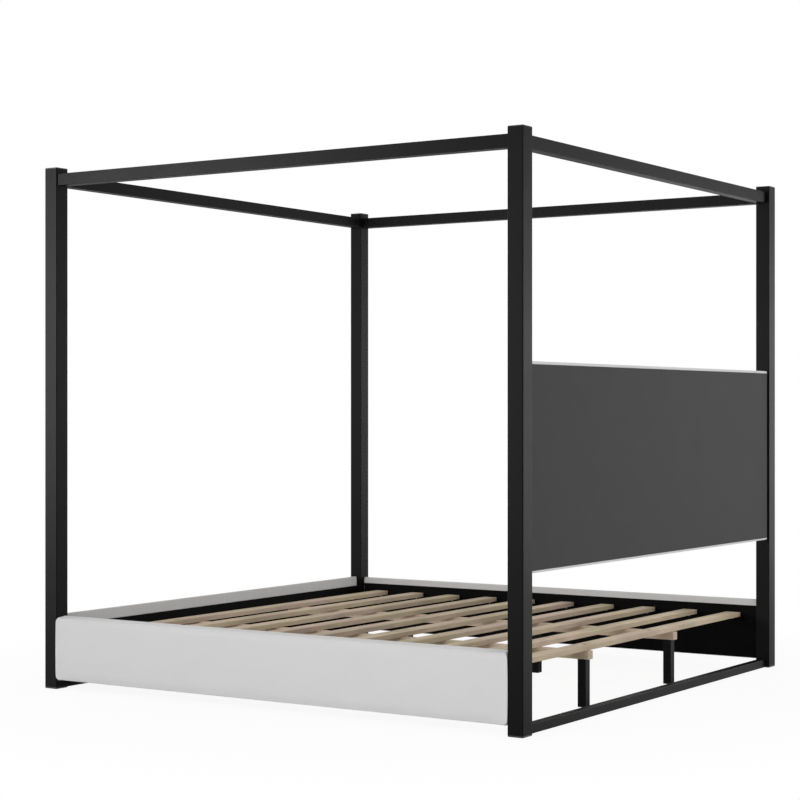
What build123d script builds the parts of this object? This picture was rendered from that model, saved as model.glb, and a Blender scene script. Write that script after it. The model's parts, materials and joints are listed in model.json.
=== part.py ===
"""Four poster canopy bed for a king mattress.

Square steel posts carry four canopy rails, low stretchers at head and foot, and an upholstered headboard.
Upholstered side and foot panels close the other three sides, and pine slats lie across the bed on
ledgers and on two beams with legs.

Millimetres, +Z up. The origin is on the floor, midway between the four posts. The headboard is at +Y.
Right and left, +X and -X, are as seen from the foot of the bed.
"""
from build123d import *
import math
import os

# Mattress that the bed is made for, and the room left round it
MATTRESS_WIDTH = 1930.0
MATTRESS_LENGTH = 2032.0
MATTRESS_SIDE_GAP = 2.0
MATTRESS_END_GAP = 3.5

# Posts of square tube, with a plug cap at each end
POST_HEIGHT = 1980.0
POST_SIDE = 60.0
POST_WALL = 1.5
POST_CORNER = 3.0
TOP_CAP_THICKNESS = 3.0
TOP_CAP_CHAMFER = 1.0
FOOT_CAP_THICKNESS = 6.0
FOOT_CAP_CHAMFER = 2.5
CAP_PLUG_DEPTH = 20.0
CAP_PLUG_WALL = 2.5
CAP_PLUG_GAP = 0.2

# Canopy rails and the low stretchers at head and foot, of square tube
RAIL_SIDE = 45.0
RAIL_WALL = 1.5
RAIL_CORNER = 2.0
RAIL_DROP = 24.0
SIDE_RAIL_INSET = 6.0
END_RAIL_INSET = 15.0
STRETCHER_SIDE = 32.0
STRETCHER_INSET = 18.0
STRETCHER_LIFT = 1.0
STUB_LENGTH = 50.0
STUB_WALL = 2.0
STUB_GAP = 0.3
RAIL_BOLT_SETBACK = 25.0
RAIL_BOLT_HEAD = 13.0
RAIL_BOLT_HEAD_HEIGHT = 4.5
RAIL_BOLT_SHANK = 8.0
RAIL_BOLT_TAIL = 8.0

# Upholstery: a board in a padded cover, with a cloth over its back
PANEL_THICKNESS = 38.0
PANEL_HEIGHT = 248.0
PANEL_BOTTOM = 30.0
FOOT_PANEL_GAP = 1.0
PANEL_CROWN = 5.0
SIDE_WRAP = 29.0
FOOT_WRAP = 45.0
BOTTOM_WRAP = 3.0
HEADBOARD_THICKNESS = 45.0
HEADBOARD_HEIGHT = 695.0
HEADBOARD_BOTTOM = 525.0
HEADBOARD_INSET = 8.0
HEADBOARD_CROWN = 6.0
HEADBOARD_TOP_WRAP = 11.0
HEADBOARD_BOTTOM_WRAP = 9.0
BOARD_THICKNESS = 18.0
CLOTH_THICKNESS = 1.0
CLOTH_END_REVEAL = 3.0
PAD_EDGE = 6.0
PAD_END = 5.0
PAD_POST_GAP = 0.5
PAD_BOARD_GAP = 0.2
TOP_ROLL = 12.0
BOTTOM_ROLL = 5.0
BACK_ROLL = 3.0
END_ROLL = 12.0
END_DRAW = 3.0
END_CROWN_LOSS = 2.0
ROLL_STEPS = 3

# Angle brackets that bolt the panels to the posts
BRACKET_ARM = 60.0
BRACKET_HEIGHT = 140.0
BRACKET_THICKNESS = 3.0
BRACKET_EDGE_GAP = 2.0
BRACKET_LIFT = 40.0
BRACKET_PANEL_BOLT_SPREAD = 90.0
SIDE_POST_BOLT_SPREAD = 100.0
FOOT_POST_BOLT_SPREAD = 60.0
BRACKET_BOLT_HEAD = 10.5
BRACKET_BOLT_HEAD_HEIGHT = 3.3
BRACKET_BOLT_SHANK = 6.0
BRACKET_BOLT_BITE = 14.0
POST_BOLT_BITE = 10.0

# Hook plates that hang the headboard in slots in the posts
HOOK_PLATE_THICKNESS = 3.0
HOOK_PLATE_WIDTH = 14.0
HOOK_PLATE_HEIGHT = 240.0
HOOK_PLATE_GAP = 0.5
HOOK_SPREAD = 160.0
HOOK_THICKNESS = 5.0
HOOK_NECK = 12.0
HOOK_DROP = 12.0
HOOK_TONGUE = 3.0
HOOK_GAP = 0.3
HOOK_SCREW_SPREAD = 60.0

# Legs, beams, ledgers and slats
LEG_HEIGHT = 171.0
LEG_SIDE = 33.0
LEG_WALL = 1.5
LEG_CORNER = 2.0
LEG_TOP_PLATE = 5.0
LEGS_PER_BEAM = 4
LEG_SHIFT = 16.5
GLIDE_THICKNESS = 3.0
GLIDE_PLUG_DEPTH = 12.0
GLIDE_PLUG_WALL = 2.0
BEAM_WIDTH = 34.0
BEAM_HEIGHT = 30.0
BEAM_OFFSET = 335.0
BEAM_OVERHANG = 12.0
LEDGER_LEG = 30.0
LEDGER_THICKNESS = 3.0
LEDGER_END_GAP = 5.0
LEDGER_SCREWS = 6
LEDGER_SCREW_SETBACK = 60.0
LEDGER_SCREW_HEAD = 9.0
LEDGER_SCREW_HEAD_HEIGHT = 2.5
LEDGER_SCREW_SHANK = 4.5
LEDGER_SCREW_BITE = 14.0
SLAT_COUNT = 10
SLAT_WIDTH = 64.0
SLAT_THICKNESS = 18.0
SLAT_EDGE = 2.0
SLAT_END_MARGIN = 109.5
SLAT_END_GAP = 5.0
SLAT_SCREW_SETBACK = 10.0
WOOD_SCREW_HEAD = 8.0
WOOD_SCREW_HEAD_HEIGHT = 2.5
WOOD_SCREW_SHANK = 4.0
WOOD_SCREW_BITE = 10.0
STUD_DIAMETER = 8.0
STUD_TIP_GAP = 4.0
STUD_TAIL = 8.0

# Least radius inside a tube's corner, and how far a cutter reaches past what it cuts
INNER_CORNER = 0.8
CUT_REACH = 1.5

# Places worked out from the sizes above
WELL_WIDTH = MATTRESS_WIDTH + 2 * MATTRESS_SIDE_GAP
WELL_LENGTH = MATTRESS_LENGTH + 2 * MATTRESS_END_GAP
BED_WIDTH = WELL_WIDTH + 2 * PANEL_THICKNESS
BED_LENGTH = PANEL_THICKNESS + WELL_LENGTH + HEADBOARD_THICKNESS + HEADBOARD_INSET
SPAN_X = BED_WIDTH - 2 * POST_SIDE
SPAN_Y = BED_LENGTH - 2 * POST_SIDE
POST_X = (BED_WIDTH - POST_SIDE) / 2
POST_Y = (BED_LENGTH - POST_SIDE) / 2
RAIL_Z = POST_HEIGHT - RAIL_DROP - RAIL_SIDE / 2
STRETCHER_Y = BED_LENGTH / 2 - STRETCHER_INSET - STRETCHER_SIDE / 2
STRETCHER_Z = STRETCHER_LIFT + STRETCHER_SIDE / 2
FOOT_PANEL_BOTTOM = STRETCHER_LIFT + STRETCHER_SIDE + FOOT_PANEL_GAP
SIDE_RAIL_X = BED_WIDTH / 2 - SIDE_RAIL_INSET - RAIL_SIDE / 2
END_RAIL_Y = BED_LENGTH / 2 - END_RAIL_INSET - RAIL_SIDE / 2
SLAT_BOTTOM = LEG_HEIGHT + BEAM_HEIGHT
SLAT_TOP = SLAT_BOTTOM + SLAT_THICKNESS
SLAT_LENGTH = WELL_WIDTH - 2 * SLAT_END_GAP
SLAT_PITCH = (SPAN_Y - 2 * SLAT_END_MARGIN) / (SLAT_COUNT - 1)
SLAT_REACH = (SPAN_Y + SLAT_WIDTH) / 2 - SLAT_END_MARGIN
SLAT_SCREW_X = SLAT_LENGTH / 2 - SLAT_SCREW_SETBACK
BEAM_LENGTH = 2 * (SLAT_REACH + BEAM_OVERHANG)
LEDGER_LENGTH = SPAN_Y - 2 * (BRACKET_ARM + LEDGER_END_GAP)
LEDGER_TOP = SLAT_BOTTOM - PANEL_BOTTOM
STUD_BITE = BEAM_HEIGHT - WOOD_SCREW_BITE - STUD_TIP_GAP

# Local frames: a rail or panel is drawn along X, with its outer face towards +Y
RIGHT = Rot(0, 0, -90)
LEFT = Rot(0, 0, 90)
HEAD = Rot(0, 0, 0)
FOOT = Rot(0, 0, 180)

# Fasteners are drawn along Z, with the head above the origin and the shank below it
FROM_BACK = Rot(90, 0, 0)
FROM_LEFT = Rot(0, -90, 0)
FROM_RIGHT = Rot(0, 90, 0)

nodes = {}


def spread(count, pitch):
    """Evenly spaced places about zero."""
    return [(i - (count - 1) / 2) * pitch for i in range(count)]


def square_bore(side, wall, corner):
    """Cross-section of the hollow in a square tube."""
    bore_side = side - 2 * wall
    return RectangleRounded(bore_side, bore_side, max(corner - wall, INNER_CORNER))


def square_section(side, wall, corner):
    """Cross-section of a square tube with rounded corners."""
    return RectangleRounded(side, side, corner) - square_bore(side, wall, corner)


def shank_hole(diameter, length):
    """Cutter for a fastener's shank, from its seat down to its tip."""
    return Pos(0, 0, -length / 2) * Cylinder(diameter / 2, length)


def bolt(head, head_height, shank, length):
    """Bolt with a flat head on its seat and a plain shank below."""
    return Pos(0, 0, head_height / 2) * Cylinder(head / 2, head_height) + shank_hole(shank, length)


def wood_screw(length):
    """Countersunk screw, its head flush with the seat."""
    head = Pos(0, 0, -WOOD_SCREW_HEAD_HEIGHT / 2) * Cone(
        WOOD_SCREW_SHANK / 2, WOOD_SCREW_HEAD / 2, WOOD_SCREW_HEAD_HEIGHT
    )
    return head + shank_hole(WOOD_SCREW_SHANK, length)


def plug_cap(side, corner, thickness, plug_side, plug_depth, plug_wall):
    """Square cap below the origin with a hollow plug standing on it."""
    plate = extrude(RectangleRounded(side, side, corner), amount=-thickness)
    plug = extrude(square_section(plug_side, plug_wall, corner), amount=plug_depth)
    return plate + plug


def outer_rim(cap):
    """Edges round the face of a plug cap that shows."""
    return cap.faces().sort_by(Axis.Z)[0].edges()


# Rails: tube, the stubs it slides over and the bolts through its inner face


def rail_bolt_places(span, side):
    """Places of a rail's two bolts in its own frame."""
    reach = span / 2 - RAIL_BOLT_SETBACK
    return [Pos(x, -side / 2, 0) * FROM_BACK for x in (-reach, reach)]


def rail_tube(span, side):
    """Square tube between two posts, bored for its bolts."""
    tube = extrude(Plane.YZ * square_section(side, RAIL_WALL, RAIL_CORNER), amount=span / 2, both=True)
    hole = shank_hole(RAIL_BOLT_SHANK, side / 2)
    return tube - [place * hole for place in rail_bolt_places(span, side)]


def rail_stubs(span, side):
    """Short tubes welded on the two posts, inside the ends of a rail."""
    stub_side = side - 2 * (RAIL_WALL + STUB_GAP)
    stub = extrude(Plane.YZ * square_section(stub_side, STUB_WALL, RAIL_CORNER), amount=STUB_LENGTH)
    hole = shank_hole(RAIL_BOLT_SHANK, side / 2)
    cuts = [place * hole for place in rail_bolt_places(span, side)]
    return [Pos(x, 0, 0) * stub - cuts for x in (-span / 2, span / 2 - STUB_LENGTH)]


def rail_bolts(span, side):
    """Bolts from the inner face of a rail through its stubs."""
    length = RAIL_WALL + STUB_GAP + STUB_WALL + RAIL_BOLT_TAIL
    screw = bolt(RAIL_BOLT_HEAD, RAIL_BOLT_HEAD_HEIGHT, RAIL_BOLT_SHANK, length)
    return [place * screw for place in rail_bolt_places(span, side)]


def build_rails():
    """Canopy rails and low stretchers, with stubs and bolts in two groups."""
    places = {
        "canopy_rail_right": (SPAN_Y, RAIL_SIDE, Pos(SIDE_RAIL_X, 0, RAIL_Z) * RIGHT),
        "canopy_rail_left": (SPAN_Y, RAIL_SIDE, Pos(-SIDE_RAIL_X, 0, RAIL_Z) * LEFT),
        "canopy_rail_head": (SPAN_X, RAIL_SIDE, Pos(0, END_RAIL_Y, RAIL_Z) * HEAD),
        "canopy_rail_foot": (SPAN_X, RAIL_SIDE, Pos(0, -END_RAIL_Y, RAIL_Z) * FOOT),
        "head_stretcher": (SPAN_X, STRETCHER_SIDE, Pos(0, STRETCHER_Y, STRETCHER_Z) * HEAD),
        "foot_stretcher": (SPAN_X, STRETCHER_SIDE, Pos(0, -STRETCHER_Y, STRETCHER_Z) * FOOT),
    }
    stubs = []
    bolts = []
    for name, (span, side, place) in places.items():
        nodes[name] = place * rail_tube(span, side)
        stubs += [place * stub for stub in rail_stubs(span, side)]
        bolts += [place * screw for screw in rail_bolts(span, side)]
    nodes["rail_stubs"] = Compound(stubs)
    nodes["rail_bolts"] = Compound(bolts)


# Upholstery: a padded cover round a board, with a cloth over the back


def cover_section(front, crown, height, draw):
    """Outline across a padded panel: flat back, rolled edges and a crowned front."""
    bottom = draw
    top = height - draw
    shoulder = front - TOP_ROLL
    heel = front - BOTTOM_ROLL
    low = bottom + BOTTOM_ROLL
    high = top - TOP_ROLL
    top_bend, bottom_bend, back_bend = [
        roll * (1 - math.sqrt(0.5)) for roll in (TOP_ROLL, BOTTOM_ROLL, BACK_ROLL)
    ]
    outline = [
        Line((0, bottom), (heel, bottom)),
        ThreePointArc((heel, bottom), (front - bottom_bend, bottom + bottom_bend), (front, low)),
        ThreePointArc((front, low), (front + crown, height / 2), (front, high)),
        ThreePointArc((front, high), (front - top_bend, top - top_bend), (shoulder, top)),
        Line((shoulder, top), (BACK_ROLL, top)),
        ThreePointArc((BACK_ROLL, top), (back_bend, top - back_bend), (0, top - BACK_ROLL)),
        Line((0, top - BACK_ROLL), (0, bottom)),
    ]
    return make_face(Curve() + outline)


def padded_form(length, height, thickness, crown):
    """Padded block along X: crowned, rolled over at both ends and drawn in there."""
    sections = [(0.0, cover_section(thickness, crown, height, 0.0))]
    end_crown = crown - END_CROWN_LOSS
    for step in range(ROLL_STEPS, -1, -1):
        angle = math.radians(90 * step / ROLL_STEPS)
        slack = 1 - math.sin(angle)
        station = length / 2 - END_ROLL * (1 - math.cos(angle))
        outline = cover_section(thickness - END_ROLL * slack, end_crown, height, END_DRAW * slack)
        sections = [(-station, outline)] + sections + [(station, outline)]
    return loft([Plane.YZ.offset(station) * outline for station, outline in sections], ruled=True)


def upholstered_panel(span, height, thickness, crown, wrap_top, wrap_bottom):
    """Pad, board and back cloth of a panel between two posts, its back at Y=0 and bottom at Z=0."""
    length = span - 2 * PAD_POST_GAP
    cloth_height = height - wrap_top - wrap_bottom
    cloth_size = (length - 2 * CLOTH_END_REVEAL, CLOTH_THICKNESS, cloth_height)
    board_size = (length - 2 * PAD_END, BOARD_THICKNESS, height - 2 * PAD_EDGE)
    on_floor = (Align.CENTER, Align.MIN, Align.MIN)
    cloth = Pos(0, 0, wrap_bottom) * Box(*cloth_size, align=on_floor)
    board = Pos(0, CLOTH_THICKNESS, PAD_EDGE) * Box(*board_size, align=on_floor)
    room = [size + 2 * PAD_BOARD_GAP for size in board_size]
    pocket = Pos(0, CLOTH_THICKNESS - PAD_BOARD_GAP, PAD_EDGE - PAD_BOARD_GAP) * Box(*room, align=on_floor)
    pad = padded_form(length, height, thickness, crown) - pocket - cloth
    return pad, board, cloth


def panel_bracket(post_leg):
    """Angle with its corner at the origin: one arm along -X on a panel, one along -Y on a post."""
    profile = Polyline(
        (0, 0),
        (-BRACKET_ARM, 0),
        (-BRACKET_ARM, -BRACKET_THICKNESS),
        (-BRACKET_THICKNESS, -BRACKET_THICKNESS),
        (-BRACKET_THICKNESS, -post_leg),
        (0, -post_leg),
        close=True,
    )
    return extrude(make_face(profile), amount=BRACKET_HEIGHT / 2, both=True)


def build_panel(name, span, place, wrap_top, post_spread, ledger_name):
    """One side or foot panel with its brackets, bolts and, where it is named, its slat ledger.

    Returns the brackets, the bolts, the ledger screws and the cutters for the holes in the posts.
    """
    form = (PANEL_HEIGHT, PANEL_THICKNESS, PANEL_CROWN)
    pad, board, cloth = upholstered_panel(span, *form, wrap_top, BOTTOM_WRAP)
    post_leg = POST_SIDE - PANEL_THICKNESS - BRACKET_EDGE_GAP
    middle = BRACKET_LIFT + BRACKET_HEIGHT / 2
    leg_middle = (BRACKET_THICKNESS + post_leg) / 2
    board_hole = CLOTH_THICKNESS + BRACKET_BOLT_BITE
    panel_bolt_length = BRACKET_THICKNESS + board_hole
    post_bolt_length = BRACKET_THICKNESS + POST_WALL + POST_BOLT_BITE
    panel_bolt = bolt(BRACKET_BOLT_HEAD, BRACKET_BOLT_HEAD_HEIGHT, BRACKET_BOLT_SHANK, panel_bolt_length)
    post_bolt = bolt(BRACKET_BOLT_HEAD, BRACKET_BOLT_HEAD_HEIGHT, BRACKET_BOLT_SHANK, post_bolt_length)
    panel_hole = shank_hole(BRACKET_BOLT_SHANK, panel_bolt_length)
    post_hole = shank_hole(BRACKET_BOLT_SHANK, post_bolt_length)
    panel_places = []
    post_places = []
    for side, turn in ((1, FROM_LEFT), (-1, FROM_RIGHT)):
        arm_x = side * (span / 2 - (BRACKET_THICKNESS + BRACKET_ARM) / 2)
        post_x = side * (span / 2 - BRACKET_THICKNESS)
        arm_seat = Pos(arm_x, -BRACKET_THICKNESS, middle)
        post_seat = Pos(post_x, -leg_middle, middle)
        panel_places += [arm_seat * Pos(0, 0, z) * FROM_BACK for z in spread(2, BRACKET_PANEL_BOLT_SPREAD)]
        post_places += [post_seat * Pos(0, 0, z) * turn for z in spread(2, post_spread)]
    panel_cuts = [at * panel_hole for at in panel_places]
    post_cuts = [at * post_hole for at in post_places]
    right_bracket = Pos(span / 2, 0, middle) * panel_bracket(post_leg)
    brackets = [shape - panel_cuts - post_cuts for shape in (right_bracket, mirror(right_bracket, Plane.YZ))]
    bolts = [at * panel_bolt for at in panel_places] + [at * post_bolt for at in post_places]
    screws = []
    if ledger_name:
        screw_places = ledger_screw_places()
        length = LEDGER_THICKNESS + CLOTH_THICKNESS + LEDGER_SCREW_BITE
        screw = bolt(LEDGER_SCREW_HEAD, LEDGER_SCREW_HEAD_HEIGHT, LEDGER_SCREW_SHANK, length)
        ledger_cuts = [at * shank_hole(LEDGER_SCREW_SHANK, length) for at in screw_places]
        screws = [at * screw for at in screw_places]
        panel_cuts += ledger_cuts
        slat_cuts = [place.inverse() * cut for cut in slat_screw_cuts()]
        nodes[ledger_name] = place * (ledger_angle() - ledger_cuts - slat_cuts)
    nodes[f"{name}_pad"] = place * pad
    nodes[f"{name}_board"] = place * (board - panel_cuts)
    nodes[f"{name}_lining"] = place * (cloth - panel_cuts)
    return [[place * shape for shape in group] for group in (brackets, bolts, screws, post_cuts)]


def ledger_angle():
    """Steel angle on the back of a side panel; the slats lie on its upper flange."""
    low = LEDGER_TOP - LEDGER_LEG
    profile = Polyline(
        (0, low),
        (0, LEDGER_TOP),
        (-LEDGER_LEG, LEDGER_TOP),
        (-LEDGER_LEG, LEDGER_TOP - LEDGER_THICKNESS),
        (-LEDGER_THICKNESS, LEDGER_TOP - LEDGER_THICKNESS),
        (-LEDGER_THICKNESS, low),
        close=True,
    )
    return extrude(Plane.YZ * make_face(profile), amount=LEDGER_LENGTH / 2, both=True)


def ledger_screw_places():
    """Places of a ledger's screws in its panel's frame."""
    pitch = (LEDGER_LENGTH - 2 * LEDGER_SCREW_SETBACK) / (LEDGER_SCREWS - 1)
    height = LEDGER_TOP - (LEDGER_THICKNESS + LEDGER_LEG) / 2
    return [Pos(x, -LEDGER_THICKNESS, height) * FROM_BACK for x in spread(LEDGER_SCREWS, pitch)]


def build_panels():
    """Side and foot panels, with brackets, bolts and screws in groups. Returns the cutters for the posts."""
    right_place = Pos(WELL_WIDTH / 2, 0, PANEL_BOTTOM) * RIGHT
    left_place = Pos(-WELL_WIDTH / 2, 0, PANEL_BOTTOM) * LEFT
    foot_place = Pos(0, PANEL_THICKNESS - BED_LENGTH / 2, FOOT_PANEL_BOTTOM) * FOOT
    side = (SIDE_WRAP, SIDE_POST_BOLT_SPREAD)
    panels = [
        ("side_panel_right", SPAN_Y, right_place, *side, "ledger_right"),
        ("side_panel_left", SPAN_Y, left_place, *side, "ledger_left"),
        ("foot_panel", SPAN_X, foot_place, FOOT_WRAP, FOOT_POST_BOLT_SPREAD, None),
    ]
    brackets = []
    bolts = []
    screws = []
    post_cuts = []
    for panel in panels:
        for group, made in zip((brackets, bolts, screws, post_cuts), build_panel(*panel)):
            group += made
    nodes["panel_brackets"] = Compound(brackets)
    nodes["panel_bolts"] = Compound(bolts)
    nodes["ledger_screws"] = Compound(screws)
    return post_cuts


# Headboard, hung by hook plates in its ends


def hook_plate():
    """Plate in the YZ plane with two hooks towards +X, their necks' undersides at the spread heights."""
    on_board = (Align.MIN, Align.CENTER, Align.CENTER)
    plate = Box(HOOK_PLATE_THICKNESS, HOOK_PLATE_WIDTH, HOOK_PLATE_HEIGHT, align=on_board)
    wall = PAD_END + PAD_POST_GAP + POST_WALL + HOOK_GAP
    outline = Polyline(
        (HOOK_PLATE_THICKNESS / 2, 0),
        (wall, 0),
        (wall, -HOOK_DROP),
        (wall + HOOK_TONGUE, -HOOK_DROP),
        (wall + HOOK_TONGUE, HOOK_NECK),
        (HOOK_PLATE_THICKNESS / 2, HOOK_NECK),
        close=True,
    )
    hook = extrude(Plane.XZ * make_face(outline), amount=HOOK_THICKNESS / 2, both=True)
    return plate + [Pos(0, 0, z) * hook for z in spread(2, HOOK_SPREAD)]


def build_headboard():
    """Headboard with its hook plates and screws. Returns the cutters for the slots in the posts."""
    place = Pos(0, BED_LENGTH / 2 - HEADBOARD_INSET, HEADBOARD_BOTTOM) * FOOT
    form = (HEADBOARD_HEIGHT, HEADBOARD_THICKNESS, HEADBOARD_CROWN)
    pad, board, cloth = upholstered_panel(SPAN_X, *form, HEADBOARD_TOP_WRAP, HEADBOARD_BOTTOM_WRAP)
    seat_x = SPAN_X / 2 - PAD_POST_GAP - PAD_END
    seat = Pos(seat_x, CLOTH_THICKNESS + BOARD_THICKNESS / 2, HEADBOARD_HEIGHT / 2)
    screw_length = HOOK_PLATE_THICKNESS + WOOD_SCREW_BITE
    screw_places = [seat * Pos(HOOK_PLATE_THICKNESS, 0, z) * FROM_RIGHT for z in spread(2, HOOK_SCREW_SPREAD)]
    screws = [at * wood_screw(screw_length) for at in screw_places]
    plate = seat * hook_plate() - screws
    room = seat * Box(
        PAD_END + CUT_REACH,
        HOOK_PLATE_WIDTH + 2 * HOOK_PLATE_GAP,
        HOOK_PLATE_HEIGHT + 2 * HOOK_PLATE_GAP,
        align=(Align.MIN, Align.CENTER, Align.CENTER),
    )
    slot_depth = 2 * (POST_WALL + CUT_REACH)
    slot_size = (slot_depth, HOOK_THICKNESS + 2 * HOOK_GAP, HOOK_NECK + HOOK_DROP + HOOK_GAP)
    slot = Box(*slot_size, align=(Align.CENTER, Align.CENTER, Align.MIN))
    slot_x = SPAN_X / 2 - seat_x
    slots = [seat * Pos(slot_x, 0, z) * slot for z in spread(2, HOOK_SPREAD)]
    both_rooms = [room, mirror(room, Plane.YZ)]
    all_screws = screws + [mirror(screw, Plane.YZ) for screw in screws]
    all_slots = slots + [mirror(cut, Plane.YZ) for cut in slots]
    nodes["headboard_pad"] = place * (pad - both_rooms)
    nodes["headboard_board"] = place * (board - all_screws)
    nodes["headboard_back_cloth"] = place * cloth
    nodes["headboard_hook_left"] = place * plate
    nodes["headboard_hook_right"] = place * mirror(plate, Plane.YZ)
    nodes["headboard_screws"] = Compound([place * screw for screw in all_screws])
    return [place * cut for cut in all_slots]


# Posts


def build_posts(cuts):
    """Four posts bored for the brackets and slotted for the headboard, with their caps."""
    tube_height = POST_HEIGHT - TOP_CAP_THICKNESS - FOOT_CAP_THICKNESS
    tube = extrude(square_section(POST_SIDE, POST_WALL, POST_CORNER), amount=tube_height)
    plug_side = POST_SIDE - 2 * (POST_WALL + CAP_PLUG_GAP)
    cap = (POST_SIDE, POST_CORNER)
    plug = (plug_side, CAP_PLUG_DEPTH, CAP_PLUG_WALL)
    foot_cap = plug_cap(*cap, FOOT_CAP_THICKNESS, *plug)
    foot_cap = chamfer(outer_rim(foot_cap), FOOT_CAP_CHAMFER)
    top_cap = plug_cap(*cap, TOP_CAP_THICKNESS, *plug)
    top_cap = chamfer(outer_rim(top_cap), TOP_CAP_CHAMFER)
    feet = []
    tops = []
    for end, y in (("head", POST_Y), ("foot", -POST_Y)):
        for side, x in (("left", -POST_X), ("right", POST_X)):
            post = Pos(x, y, FOOT_CAP_THICKNESS) * tube
            nodes[f"post_{end}_{side}"] = post - cuts
            feet.append(Pos(x, y, FOOT_CAP_THICKNESS) * foot_cap)
            tops.append(Pos(x, y, POST_HEIGHT - TOP_CAP_THICKNESS) * Rot(180, 0, 0) * top_cap)
    nodes["post_foot_caps"] = Compound(feet)
    nodes["post_top_caps"] = Compound(tops)


# Slats, and the beams and legs under them


def slat_places():
    """Places of the slats along the bed, from foot to head."""
    return spread(SLAT_COUNT, SLAT_PITCH)


def slats_over_legs():
    """Places of the slats that are screwed to the beams, spread from the first slat to the last."""
    step = (SLAT_COUNT - 1) / (LEGS_PER_BEAM - 1)
    return [slat_places()[round(number * step)] for number in range(LEGS_PER_BEAM)]


def leg_places():
    """Places of the legs along a beam, each under its slat and shifted towards the nearer end of the bed."""
    return [y + math.copysign(LEG_SHIFT, y) for y in slats_over_legs()]


def slat_screws():
    """Screws through both ends of every slat, and through the slats over the legs into the beams."""
    ends = [Pos(x, y, SLAT_TOP) for y in slat_places() for x in (-SLAT_SCREW_X, SLAT_SCREW_X)]
    crossings = [Pos(x, y, SLAT_TOP) for y in slats_over_legs() for x in (-BEAM_OFFSET, BEAM_OFFSET)]
    screw = wood_screw(SLAT_THICKNESS + WOOD_SCREW_BITE)
    return [place * screw for place in ends + crossings]


def slat_screw_cuts():
    """Cutters for the holes that the screws at the slat ends make in the ledgers."""
    hole = shank_hole(WOOD_SCREW_SHANK, SLAT_THICKNESS + WOOD_SCREW_BITE)
    return [Pos(x, y, SLAT_TOP) * hole for y in slat_places() for x in (-SLAT_SCREW_X, SLAT_SCREW_X)]


def leg_tube():
    """Leg of square tube standing on its glide, closed at the top by a plate with a hole for the stud."""
    height = LEG_HEIGHT - GLIDE_THICKNESS
    outside = extrude(RectangleRounded(LEG_SIDE, LEG_SIDE, LEG_CORNER), amount=height)
    inside = extrude(square_bore(LEG_SIDE, LEG_WALL, LEG_CORNER), amount=height - LEG_TOP_PLATE)
    hole = Pos(0, 0, height) * shank_hole(STUD_DIAMETER, LEG_TOP_PLATE)
    return Pos(0, 0, GLIDE_THICKNESS) * (outside - inside - hole)


def build_base():
    """Slats with their screws, beams, legs, studs and glides."""
    screws = slat_screws()
    slat_box = Box(SLAT_LENGTH, SLAT_WIDTH, SLAT_THICKNESS, align=(Align.CENTER, Align.CENTER, Align.MIN))
    slat = fillet(slat_box.edges().filter_by(Axis.X), SLAT_EDGE)
    for number, y in enumerate(slat_places(), start=1):
        nodes[f"slat_{number:02d}"] = Pos(0, y, SLAT_BOTTOM) * slat - screws
    nodes["slat_screws"] = Compound(screws)
    stud_length = STUD_BITE + LEG_TOP_PLATE + STUD_TAIL
    stud = Pos(0, 0, LEG_HEIGHT + STUD_BITE) * shank_hole(STUD_DIAMETER, stud_length)
    leg = leg_tube()
    plug_side = LEG_SIDE - 2 * (LEG_WALL + CAP_PLUG_GAP)
    glide = plug_cap(LEG_SIDE, LEG_CORNER, GLIDE_THICKNESS, plug_side, GLIDE_PLUG_DEPTH, GLIDE_PLUG_WALL)
    beam_box = Box(BEAM_WIDTH, BEAM_LENGTH, BEAM_HEIGHT, align=(Align.CENTER, Align.CENTER, Align.MIN))
    beam = fillet(beam_box.edges().filter_by(Axis.Y), SLAT_EDGE)
    studs = []
    glides = []
    for side, x in (("left", -BEAM_OFFSET), ("right", BEAM_OFFSET)):
        beam_studs = [Pos(x, y, 0) * stud for y in leg_places()]
        nodes[f"beam_{side}"] = Pos(x, 0, LEG_HEIGHT) * beam - screws - beam_studs
        studs += beam_studs
        for number, y in enumerate(leg_places(), start=1):
            nodes[f"leg_{side}_{number}"] = Pos(x, y, 0) * leg
            glides.append(Pos(x, y, GLIDE_THICKNESS) * glide)
    nodes["leg_studs"] = Compound(studs)
    nodes["leg_glides"] = Compound(glides)


def export_nodes():
    """Write one STEP file for each node."""
    os.makedirs("parts", exist_ok=True)
    for name, shape in nodes.items():
        export_step(shape, f"parts/{name}.step")


build_rails()
build_posts(build_panels() + build_headboard())
build_base()
export_nodes()
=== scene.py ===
"""Studio scene of a four poster canopy bed.

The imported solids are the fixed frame. Steel, timber and plastic pieces keep their solids and get
their finish here. Covers, linings, back cloth and fasteners are modelled here and stand for their
solids. Lengths are metres. The headboard is at +Y, and right is +X as seen from the bed's foot.
"""
from __future__ import annotations

import json
import logging
import math
from dataclasses import dataclass, field
from enum import Enum
from typing import Any, Callable, Iterable, Mapping, Sequence, Union

import bmesh
import bpy
from mathutils import Matrix, Vector, noise

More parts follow.
